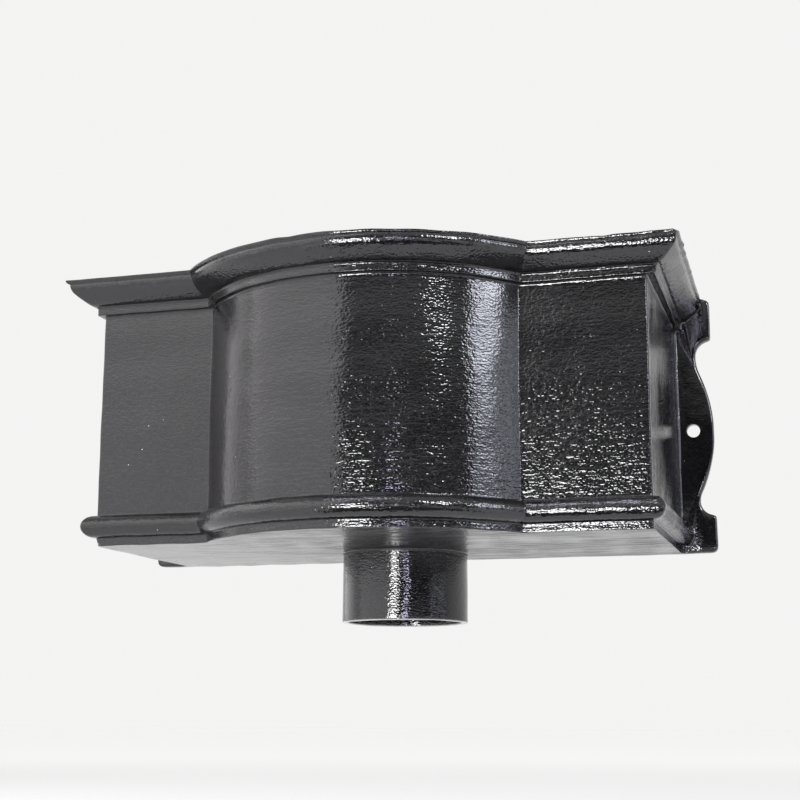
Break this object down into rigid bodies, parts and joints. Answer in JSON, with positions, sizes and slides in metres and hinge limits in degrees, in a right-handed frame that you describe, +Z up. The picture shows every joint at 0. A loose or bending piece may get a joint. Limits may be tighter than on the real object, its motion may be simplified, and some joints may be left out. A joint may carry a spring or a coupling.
{
  "type": "rainwater hopper",
  "caption": "Bow-fronted cast rainwater hopper with moulded cornice and base bead, open top, round outlet spigot below and shaped fixing ears on the back plate.",
  "frame": {"origin": "on the wall plane, midway between the two fixing holes", "axes": "+X to the right along the wall as seen from the front, +Y into the wall, +Z up towards the open top"},
  "size_m": [0.506, 0.274, 0.274],
  "materials": {
    "gloss_black_paint": "brushed-on gloss black paint over cast iron"
  },
  "bodies": {
    "root": {"hopper": "gloss_black_paint"}
  },
  "joints": []
}
